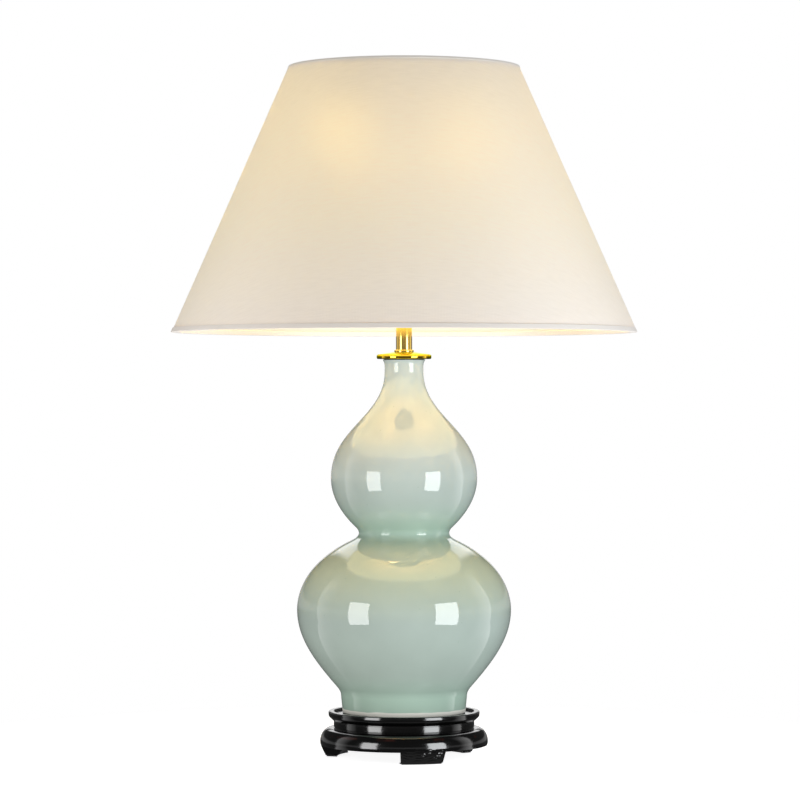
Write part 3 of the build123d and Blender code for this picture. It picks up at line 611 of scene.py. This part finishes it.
def apron():
    """The carved base ring and its three feet as one grid. Rows are the section: top,
    bulging face, foot face, underside, inner face. Columns run across each foot, by equal
    angles of a sine so that they lie closer at its sides, then along the gap to the next
    foot. All columns are radial, so the feet's sides are too. In a foot column the lower
    rows go down to the toe and heel; in a gap column the same rows lie flat under the
    apron, and the step between the two is the foot's side."""
    shoulder, belly = (apron_shoulder_r, apron_top), (apron_belly_r, apron_belly_z)
    face = stretch(shoulder, (79.5, apron_top - 0.6), (apron_belly_r, apron_belly_z + 6.5),
                   belly, 18)
    lower = stretch(belly, (apron_belly_r, apron_belly_z - 1.0), (82.75, foot_joint + 1.0),
                    (apron_edge_r, foot_joint), 6)[1:]
    top = [(apron_inner_r, apron_top), (72.0, apron_top), (73.0, apron_top)]
    s = np.linspace(0, 1, 26)[1:]
    foot_face = np.stack([apron_edge_r + (toe_r - apron_edge_r) * s**1.25,
                          foot_joint + (toe_z - foot_joint) * s], 1)
    flat = straight((apron_edge_r, foot_joint), (under_outer_r, foot_joint), s)
    e = np.linspace(0, 1, 7)[1:]
    sole = straight((toe_r, toe_z), (heel_r, toe_z), e)
    under = straight((under_outer_r, foot_joint), (under_inner_r, foot_joint), e)
    heel = straight((heel_r, toe_z), (apron_inner_r, foot_joint), e)
    back = straight((under_inner_r, foot_joint), (apron_inner_r, foot_joint), e)
    close = [(apron_inner_r, 18.0), (apron_inner_r, apron_top)]
    upper = np.vstack([top, face, lower])
    foot_rows = np.vstack([upper, foot_face, sole, heel, close])
    gap_rows = np.vstack([upper, flat, under, back, close])
    first, last = len(upper), len(upper) + len(s)

    across = foot_half * np.sin(np.linspace(-np.pi / 2, np.pi / 2, 128))
    rows = np.repeat(foot_rows[:, None], len(across), 1)
    from_side = foot_half - np.abs(across)
    down = np.clip((foot_joint - rows[..., 1]) / (foot_joint - toe_z), 0, 1)
    rows[..., 1] += round_off(foot_corner, from_side) * down
    # The carving covers the foot's face and the eight rows over it, and fades at its edges.
    carved = np.zeros(rows.shape[:2])
    carved[first - 8 : last] = 1.0
    onto = np.clip((carving_top - rows[..., 1]) / 3.0, 0, 1)
    edge_fade = np.clip(from_side / 3.0 - 0.4, 0, 1) * np.clip((rows[..., 1] - 1.8) / 1.5, 0, 1)
    rows[..., 0] += carved * onto * edge_fade * drifting_clouds(across, rows[..., 1])
    ease = round_off(foot_edge, from_side)
    rows[first:last, :, 0] -= ease * np.clip(4 * down[first:last], 0, 1)

    columns = []
    for k, bearing in enumerate(foot_bearings):
        following = foot_bearings[(k + 1) % len(foot_bearings)] + (360 if k == 2 else 0)
        columns.append((rows, math.radians(bearing) + np.arcsin(across / apron_edge_r)))
        t = np.linspace(0, 1, 60)
        edge = math.asin(foot_half / apron_edge_r)
        turn = (1 - t) * (math.radians(bearing) + edge) + t * (math.radians(following) - edge)
        columns.append((np.repeat(gap_rows[:, None], len(t), 1), turn))
    columns.append((rows[:, :1], columns[0][1][:1]))
    section = np.concatenate([points for points, _ in columns], 1) * MM
    turn = np.concatenate([turns for _, turns in columns])
    return polar(section[..., 0], turn - np.pi / 2, section[..., 1])


piece("stand_base_carved", [apron()], lacquer, "base", ["stand_apron"], 50)

waist_outline = rounded(
    (board_spigot_r, waist_top, 0.2), (quirk_r, waist_top, 0.2),
    (quirk_r, waist_top - quirk_height, 0.15), (waist_r, waist_top - quirk_height, 0.3),
    (waist_r, apron_top + quirk_height, 0.3), (quirk_r, apron_top + quirk_height, 0.15),
    (quirk_r, apron_top, 0.2), (board_spigot_r, apron_top, 0.2))
piece("stand_waist_turned", [lathe(waist_outline, 192)], lacquer, "base",
      ["stand_waist"], 50)

gallery_outline = rounded(
    (board_inner_r, recess_floor, 0.1), (recess_r, recess_floor, 0.3),
    (recess_r, gallery_top, 0.8), (gallery_r, gallery_top, 1.4),
    (gallery_r, gallery_top - gallery_edge, 2.0), (waist_r + 0.5, waist_top, 0.4),
    (board_spigot_r, waist_top, 0.2), (board_spigot_r, board_low, 0.3),
    (board_inner_r, board_low, 0.1))
piece("stand_gallery_turned", [lathe(gallery_outline, 192)], lacquer, "base",
      ["stand_gallery"], 50)


# ---- brass on the axis ----
def turned_piece(name, node, outline, turns=96, body="base", material=brass):
    """A brass piece turned about the lamp's axis that stands for one frame node."""
    return piece(name, [lathe(outline, turns)], material, body, [node])


turned_piece("vase_cap_turned", "vase_cap", rounded(
    (rod_clear, cap_top, 0.1), (cap_flat_r, cap_top, 0.8), (cap_r, cap_top - cap_bevel, 1.7),
    (cap_r, cap_z, 1.6), (rod_clear, cap_z, 0.1)), 160,
    material=gilt_brass)
turned_piece("stem_collar_turned", "stem_collar", rounded(
    (collar_bore_r, collar_top, 0.1), (collar_r, collar_top, 0.9),
    (collar_r, cap_top, 0.2), (collar_bore_r, cap_top, 0.1)))
turned_piece("stem_tube_drawn", "stem_tube", rounded(
    (stem_r - stem_wall, cluster_z, 0.2), (stem_r, cluster_z, 0.2), (stem_r, cap_top, 0.2),
    (stem_r - stem_wall, cap_top, 0.2)), 128)

cup_floor = cluster_z + cup_wall
groove_r = cluster_r - cup_groove
turned_piece("cluster_cup", "cluster_body", rounded(
    (cluster_r - cup_wall, shoulder_z, 0.1), (cluster_r, shoulder_z, 0.4),
    (cluster_r, shoulder_z - cup_rim, 0.3), (groove_r, shoulder_z - cup_rim - 0.4, 0.3),
    (groove_r, cluster_z + cup_foot + 0.4, 0.3), (cluster_r, cluster_z + cup_foot, 0.3),
    (cluster_r, cluster_z + cup_chamfer, 0.8), (cluster_r - cup_chamfer, cluster_z, 0.8),
    (rod_clear, cluster_z, 0.1), (rod_clear, cup_floor, 0.1),
    (cluster_r - cup_wall, cup_floor, 0.5)), 128, material=worn_brass)
lid_rise = shoulder_z + (cluster_r - cluster_neck_r) * math.tan(math.radians(socket_lean))
turned_piece("cluster_lid", "cluster_cover", rounded(
    (riser_r, cluster_top, 0.1), (cluster_neck_r, cluster_top, 0.6),
    (cluster_neck_r, lid_rise, 0.8), (cluster_r, shoulder_z, 0.4),
    (riser_r, shoulder_z, 0.1)), 128)
turned_piece("riser_turned", "riser_rod", rounded(
    (0.01, stud_top, 0.0), (stud_r - 1, stud_top, 0.2), (stud_r, stud_top - 1, 0.2),
    (stud_r, seat_z, 0.1), (riser_r, seat_z, 0.5), (riser_r, shoulder_z, 0.2),
    (0.01, shoulder_z, 0.0)), 64)
turned_piece("seat_washer_turned", "seat_washer", rounded(
    (stud_bore_r, hub_z, 0.1), (seat_r, hub_z, 0.3), (seat_r, seat_z, 0.3),
    (stud_bore_r, seat_z, 0.1)), 64, "seat")


def finial_outline():
    """Round ball on a flared neck and foot, with the blind hole for the stud."""
    ball = arc((0.0, finial_top - ball_r), ball_r, 90, -50, 30)
    neck_end, edge = ball[-1], (finial_foot_r, hub_top + 1.6)
    flare = stretch(neck_end, neck_end + 2.0 * heading(-140), (4.6, edge[1] + 0.6), edge, 14)
    hole_top = hub_top + finial_hole
    hole = [(finial_foot_r, hub_top + 0.3), (finial_foot_r - 0.3, hub_top),
            (stud_bore_r, hub_top), (stud_bore_r, hole_top), (0.0, hole_top)]
    return np.vstack([ball, flare[1:], hole])


turned_piece("finial_turned", "finial", finial_outline(), 64, "finial")


# ---- sockets, bulbs and pull chains ----
def socket_cap_outline():
    """Domed cup that holds the shell: a cubic stretch from the straight wall to the flat
    foot, and the inside."""
    rim = [(shell_r, holder_top), (holder_r - 0.3, holder_top), (holder_r, holder_top - 0.3)]
    dome = stretch((holder_r, 13.9), (holder_r, 8.9), (14.0, holder_low), (9.0, holder_low), 16)
    inside = [(holder_bore_r, holder_low), (holder_bore_r, holder_low + 1.8),
              (shell_r, shell_low), (shell_r, holder_top)]
    return np.vstack([rim, dome, inside])


def threaded_base():
    """Screw base: under a plain collar the profile's radius has, added to it, the thread's
    depth times the sine of the height over the pitch less the angle, a round helix."""
    profile = np.vstack([
        stretch((12.6, glass_low), (13.0, 60.9), (13.0, 59.0), (12.7, thread_top), 6),
        np.stack([np.full(60, 12.65), np.linspace(thread_top - 0.4, base_low + 2.4, 60)], 1),
        [(base_r - 2.0, base_low + 0.4), (base_r - 3.0, base_low), (contact_r, base_low)]])
    radius, height = profile.T[:, :, None]
    turn = np.linspace(0, 2 * np.pi, 65)
    under_collar = np.clip((thread_top - height) / 1.5, 0, 1)
    depth = thread_depth * under_collar * np.clip((height - base_low - 2.0) / 1.5, 0, 1)
    thread = depth * np.sin(2 * np.pi * height / thread_pitch - turn)
    return polar(radius + thread, turn, height) * MM


def bulb_outline():
    """Pear-shaped envelope: an arc about the bulb's centre, then a cubic to the neck."""
    top = arc((0.0, glass_middle), glass_r, 90, -35, 40)
    sweep = stretch(top[-1], top[-1] + 16.0 * heading(-125), (base_r, glass_low + 14.0),
                    (base_r, glass_low), 24)
    return np.vstack([top, sweep[1:], [(0.0, glass_low)]])


def bead_chain():
    """Beaded chain hanging from the guide: the radius is that of evenly spaced balls, the
    root of the bead radius squared less the distance from the nearest bead's middle
    squared, and never under the link wire's."""
    bead_r, link_r, spacing = 1.1, 0.4, 2.96
    height = np.linspace(0.0, -chain_length, 25 * 14 + 1)
    from_bead = np.mod(height, spacing) - spacing / 2
    radius = np.maximum(np.sqrt(np.clip(bead_r**2 - from_bead**2, 0, None)), link_r)
    radius[[0, -1]] = 0.0
    return lathe(np.stack([radius, height], 1), 14)


def bell_outline():
    """Small turned bell on the chain's end."""
    low = -chain_length - bell_length
    skirt = stretch((1.5, -chain_length), (1.5, -chain_length - 4.0), (3.8, low + 6.0),
                    (3.8, low + 2.0), 16)
    return np.vstack([[(0.0, -chain_length)], skirt, [(3.7, low + 1.6), (2.8, low), (0.0, low)]])


for side, bearing in sides.items():
    sleeve = lathe(rounded(
        (shell_r - shell_wall, shell_top, 0.1), (lip_r, shell_top, 0.5),
        (lip_r, shell_top - lip_height, 0.5), (shell_r, shell_top - lip_height, 0.3),
        (shell_r, rib_z + 0.6, 0.3), (shell_r + 0.5, rib_z, 0.3), (shell_r, rib_z - 0.6, 0.3),
        (shell_r, shell_low, 0.1), (shell_r - shell_wall, shell_low, 0.1)))
    guide = lathe([(0.0, guide_reach), (2.6, guide_reach), (3.6, guide_reach - 0.4),
                   (guide_r, guide_reach - 1.4), (guide_r, 1.6), (4.6, 0.8), (5.4, 0.3),
                   (5.6, -0.6), (0.0, -0.6)], 40)
    guide = laid(guide, (shell_r * MM, 0, guide_z * MM), (1, 0, 0))
    tip = lathe([(0.0, base_low + 0.2), (contact_r, base_low + 0.2), (4.5, base_low - 0.6),
                 (3.1, contact_low + 0.9), (2.7, contact_low + 0.3), (1.6, contact_low),
                 (0.0, contact_low)], 40)
    cup, envelope = lathe(socket_cap_outline()), lathe(bulb_outline(), 72)
    bulb = f"bulb_{side}"
    for name, node, grids, material, body, slot in (
            ("socket_cup", "socket_cap", [cup], brass, "base", "brass"),
            ("socket_sleeve", "socket_shell", [sleeve, guide], brass, "base", "brass"),
            ("bulb_screw_base", "bulb_base", [threaded_base()], nickel, bulb,
             "bulb_aluminium"),
            ("bulb_contact", "bulb_tip", [tip], phenolic, bulb, "phenolic"),
            ("bulb_envelope", "bulb_glass", [envelope], bulb_glass, bulb, "bulb_glass")):
        piece(f"{name}_{side}", [on_socket(grid, side) for grid in grids], material, body,
              [f"{node}_{side}"])
    lean = math.radians(socket_lean)
    hang_r = socket_offset + chain_line * math.cos(lean) + guide_z * math.sin(lean)
    hang_z = outlet_z + guide_z * math.cos(lean) - chain_line * math.sin(lean) + chain_in_guide
    hang = polar(hang_r, math.radians(bearing), hang_z) * MM
    for name, node, grid in (("pull_chain_beads", "pull_chain", bead_chain()),
                             ("pull_bell_turned", "pull_bell", lathe(bell_outline(), 32))):
        piece(f"{name}_{side}", [grid + hang], worn_brass, f"pull_{side}",
              [f"{node}_{side}"])


# ---- shade ----
def wall(along, depth):
    """Points (radius, height) of the shade's wall, a distance down its slope from the top
    edge and a depth inwards from the cloth's outer face."""
    along, depth = np.broadcast_arrays(np.asarray(along, float), depth)
    return np.stack([top_r + along * slope_sin - depth * slope_cos,
                     shade_top - along * slope_cos - depth * slope_sin], -1)


def cloth():
    """The rolled cloth: one smooth cone from the top edge to the bottom edge, whose
    radius wanders by a few tenths of a millimetre, as a laminated sheet does, and the
    glued overlap down the back, a strip that tucks in at its sides."""
    along = np.linspace(0, slope, 90)[:, None]
    turn = np.linspace(0, 2 * np.pi, 361)
    down = along / slope
    wander = 0.25 * np.sin(3 * turn + 2.0 * down) + 0.18 * np.sin(5 * turn - 1.0 + 3.0 * down)
    radius, height = np.moveaxis(wall(along, 0.0), -1, 0)
    cone = polar(radius + wander, turn, height) * MM
    radius, height = np.moveaxis(wall(along, -overlap_thick), -1, 0)
    angle = np.pi / 2 - np.linspace(-1, 1, 5) * overlap_width / 2 / radius
    strip = polar(radius - np.array([0.4, 0, 0, 0, 0.4]), angle, height) * MM
    return cone, strip[:, ::-1]


def lay_flat(made):
    """Gives a shade piece the UV map of its cloth laid flat, in metres: a point at a
    distance d from the cone's apex and a turn a lies at d sin(a k), -d cos(a k), where k
    is the slope's sine. The turn is counted from the front."""
    mesh = made.data
    places = np.empty(len(mesh.vertices) * 3)
    mesh.vertices.foreach_get("co", places)
    places = places.reshape(-1, 3)
    owners = np.empty(len(mesh.loops), int)
    mesh.loops.foreach_get("vertex_index", owners)
    x, y = places[owners, 0], places[owners, 1]
    turn = np.arctan2(x, -y) * slope_sin
    away = np.hypot(x, y) / slope_sin
    flat = np.stack([away * np.sin(turn), -away * np.cos(turn)], 1)
    layer = mesh.uv_layers.new(name="Cloth")
    layer.data.foreach_set("uv", flat.ravel())
    return made


def hem_outline(edge, way):
    """Tape rolled round the wall's edge and its ring: an outer line a little proud of the
    cloth, an end past the edge, which is level under the lower ring, and an inner line
    against the cloth and the wire. way is 1 at the top, -1 below."""
    thick, width, past = (0.4, 1.8, 0.4) if way > 0 else (0.55, 2.6, 2.4)
    inside = liner_in + 2 * wire_r
    level = 0.0 if way > 0 else (inside + 2 * thick) * slope_sin / slope_cos
    free, tip, inner_free = edge + way * width, edge - way * past, edge + way * hem_inset
    deep = tip + way * level
    corners = [(free, 0.0, 0.1), (free, -thick, 0.2), (tip, -thick, 0.4),
               (deep, inside + thick, 0.6), (inner_free, inside + thick, 0.3),
               (inner_free, inside, 0.1), (deep + way * thick, inside, 0.3), (edge, 0.0, 0.3)]
    outline = rounded(*[(*wall(along, depth), cut) for along, depth, cut in corners])
    return outline if way > 0 else outline[::-1]


cover = piece("shade_cloth", list(cloth()), fabric, "shade", ["shade_cover"])
lay_flat(cover)
lining = piece("shade_lining", [lathe(np.vstack([
    wall(np.linspace(0.2, slope - 0.2, 40), liner_out),
    wall(np.linspace(slope - 0.2, 0.2, 40), liner_in),
    wall([0.2], liner_out)]), 240)], liner, "shade", ["shade_liner"])
# The lamp's light reaches the cloth as if the thin lining weren't in its way.
lining.visible_shadow = False
lining.visible_diffuse = False
lining.visible_transmission = False
for name, edge, way in (("top", 0.0, 1), ("bottom", slope, -1)):
    hem = piece(f"shade_{name}_tape", [lathe(hem_outline(edge, way), 300)], tape, "shade",
                [f"shade_{name}_hem"])
    lay_flat(hem)
    ring_middle = wall(edge + way * ring_inset, liner_in + wire_r)
    piece(f"shade_{name}_wire", [lathe(arc(ring_middle, wire_r, 90, -270, 17), 200)], enamel,
          "shade", [f"shade_{name}_ring"])


def spider():
    """Hub ring and three straight arms to the top wire. An arm's radius swells by 0.9 mm
    at each end, by the square of the nearness to the end, as its weld does."""
    grids = [lathe(rounded((stud_bore_r, hub_top, 0.2), (hub_r, hub_top, 0.6),
                           (hub_r, hub_z, 0.6), (stud_bore_r, hub_z, 0.2)), 72)]
    end_r, end_z = wall(ring_inset, liner_in + wire_r) - np.array([wire_r, 0.0])
    start_r, start_z = hub_r - 1.6, (hub_z + hub_top) / 2
    length = math.hypot(end_r - start_r, end_z - start_z)
    s = np.linspace(length, 0, 40)
    near_end = np.clip(1 - np.minimum(s, length - s) / 4.0, 0, 1)
    radius = 1.6 + 0.9 * near_end**2
    arm = lathe(np.vstack([[(0, length)], np.stack([radius, s], 1), [(0, 0)]]), 20)
    for bearing in (90.0, 210.0, 330.0):
        a = math.radians(bearing)
        foot = polar(start_r, a, start_z)
        grids.append(laid(arm, foot * MM, polar(end_r, a, end_z) - foot))
    return grids


piece("shade_spider_welded", spider(), brass, "shade", ["shade_spider"])


# ---- floor, light and camera ----
def white_table(tree, place):
    """A white table top. The camera sees it as white as the backdrop, but for the lamp's
    faint shadow, and it fades into the backdrop from 0.35 m to 0.55 m off."""
    seen = add(tree, "LightPath", out="Is Camera Ray")
    away = add(tree, "VectorMath", [place], out="Value", operation="LENGTH")
    fade = add(tree, "MapRange", [away, 0.35, 0.55])
    matt = add(tree, "BsdfDiffuse", {"Color": grey(0.75)})
    bright = add(tree, "Emission", {"Color": grey(1.0), "Strength": 0.9})
    both = add(tree, "AddShader", [matt, bright])
    top = add(tree, "MixShader", [seen, matt, both])
    return add(tree, "MixShader", [fade, top, add(tree, "BsdfTransparent")])


def studio_floor():
    """A disc of 0.6 m radius, just under the lamp's feet."""
    mesh = bpy.data.meshes.new("studio_floor")
    rim = polar(0.6, np.linspace(0, 2 * np.pi, 97)[:-1], -0.0002)
    mesh.from_pydata(rim.tolist(), [], [list(range(len(rim)))])
    mesh.materials.append(finish("studio_floor", white_table))
    floor = put("studio_floor", mesh)
    # The softboxes reach below the table, so the floor neither hides nor shades them.
    floor.visible_glossy = False
    floor.visible_diffuse = False
    floor.visible_shadow = False


studio_floor()


def softbox(name, bearing, width, height, distance, middle_z, radiance, tone=(1, 1, 1)):
    """An area lamp at a bearing in degrees from the front towards +X, facing the lamp.
    Its power is the wanted radiance times pi times its area."""
    lamp = bpy.data.lights.new(name, "AREA")
    lamp.shape = "RECTANGLE"
    lamp.size, lamp.size_y = width, height
    lamp.energy = radiance * math.pi * width * height
    lamp.color = tone
    made = put(name, lamp)
    a = math.radians(bearing)
    made.location = (distance * math.sin(a), -distance * math.cos(a), middle_z)
    made.rotation_euler = (math.pi / 2, 0, a)
    made.visible_camera = False


softbox("softbox_left", -47.5, 0.35, 0.55, 0.88, 0.165, 6.2)
softbox("softbox_right", 44.5, 0.39, 0.55, 0.88, 0.165, 7.8, (0.95, 0.98, 1.0))


def studio_world():
    """White for the camera and through glass. Diffuse light is a pale grey, brighter from
    the white table, the right and the back, and cooler from the right. Gloss sees a dark
    room with a grey belt at eye height, the table, a bright backdrop behind the lamp that
    widens upwards, a narrow lit gap below it, and at each side a pale flat that brightens
    to its far edge, which runs back below the table. side, back and up are the parts of
    the direction looked in."""
    world = bpy.data.worlds.new("studio")
    bpy.context.scene.world = world
    world.use_nodes = True
    tree = world.node_tree
    tree.nodes.clear()
    way = add(tree, "TexCoord", out="Generated")
    side, back, up = (add(tree, "SeparateXYZ", [way], out=axis) for axis in "XYZ")
    aside = add(tree, "Math", [side], operation="ABSOLUTE")

    # The backdrop.
    drift = add(tree, "Math", [back, 0.12], operation="MULTIPLY")
    half_width = add(tree, "Math", [up, 0.6, drift], operation="MULTIPLY_ADD")
    inward = add(tree, "Math", [half_width, aside], operation="SUBTRACT")
    wide = add(tree, "MapRange", [inward, 0.0, 0.06])
    behind = add(tree, "MapRange", [back, 0.3, 0.4])
    over = add(tree, "MapRange", [up, 0.22, 0.30])
    high = add(tree, "Math", [behind, over], operation="MULTIPLY")
    backdrop = add(tree, "Math", [wide, high], operation="MULTIPLY")

    # The lit gap below it.
    outward = add(tree, "Math", [aside, -1.0], operation="MULTIPLY")
    inward = add(tree, "Math", [back, 0.2, outward], operation="MULTIPLY_ADD")
    wide = add(tree, "MapRange", [inward, 0.0, 0.05])
    gap = add(tree, "Math", [wide, band(tree, up, 0.10, 0.06, 0.04)], operation="MULTIPLY")

    # The flats at the sides.
    edge = add(tree, "MapRange", [up, -0.6, -0.2, 0.55, 0.30])
    brighter = add(tree, "MapRange", [back, -0.1, edge])
    before_edge = add(tree, "Math", [back, edge], operation="LESS_THAN")
    flat = add(tree, "Math", [brighter, before_edge], operation="MULTIPLY")
    under = add(tree, "MapRange", [up, 0.75, 0.5])
    over = add(tree, "MapRange", [up, -0.7, -0.4])
    tall = add(tree, "Math", [under, over], operation="MULTIPLY")
    flat = add(tree, "Math", [flat, tall], operation="MULTIPLY")
    flat_level = add(tree, "MapRange", [side, -0.3, 0.3, 1.1, 1.6])

    # All that gloss sees.
    table = add(tree, "MapRange", [up, -0.5, -0.8, 0.05, 0.18])
    belt = band(tree, up, 0.03, 0.09, 0.05, 0.28)
    dim = add(tree, "Math", [gap, table], operation="ADD")
    dim = add(tree, "Math", [dim, belt], operation="ADD")
    lit = add(tree, "Math", [backdrop, 2.0, dim], operation="MULTIPLY_ADD")
    room = add(tree, "Math", [flat, flat_level, lit], operation="MULTIPLY_ADD")

    # Diffuse light.
    right = add(tree, "MapRange", [side, 0.0, 1.0, 1.0, 1.3])
    rear = add(tree, "MapRange", [back, 0.5, 1.0, 1.0, 2.4])
    sides_lit = add(tree, "Math", [right, rear], operation="MULTIPLY")
    low = add(tree, "MapRange", [up, -0.2, 0.2, 0.58, 0.18])
    even = add(tree, "Math", [sides_lit, low], operation="MULTIPLY")

    # Which of them a ray meets.
    camera_ray, glossy_ray, diffuse_ray, glass_ray = (
        add(tree, "LightPath", out=f"Is {kind} Ray")
        for kind in ("Camera", "Glossy", "Diffuse", "Transmission"))
    level = add(tree, "Mix", {0: glossy_ray, 2: even, 3: room}, data_type="FLOAT")
    direct = add(tree, "Math", [camera_ray, glass_ray], operation="MAXIMUM")
    seen = add(tree, "Mix", {0: direct, 2: level, 3: 1.0}, data_type="FLOAT")
    rightward = add(tree, "MapRange", [side, 0.0, 0.8])
    cool = add(tree, "Math", [rightward, diffuse_ray], operation="MULTIPLY")
    tone = add(tree, "Mix", {0: cool, 6: grey(1.0), 7: glow(0.91, 0.96, 1.05)}, out=2,
               data_type="RGBA")
    sky = add(tree, "Background", {"Color": tone, "Strength": seen})
    add(tree, "OutputWorld", {"Surface": sky})


studio_world()

camera = bpy.data.cameras.new("camera")
camera.sensor_width = 36.0
camera.lens = 151.1
camera.shift_y = -4 / 800  # the photograph's middle row is four pixels under the horizon
camera_object = put("camera", camera)
camera_object.location = (-0.0040, -3.323, 0.3566)  # the photograph's viewpoint
camera_object.rotation_euler = (math.pi / 2, 0, 0)
bpy.context.scene.camera = camera_object
bpy.context.scene.view_settings.view_transform = "Standard"
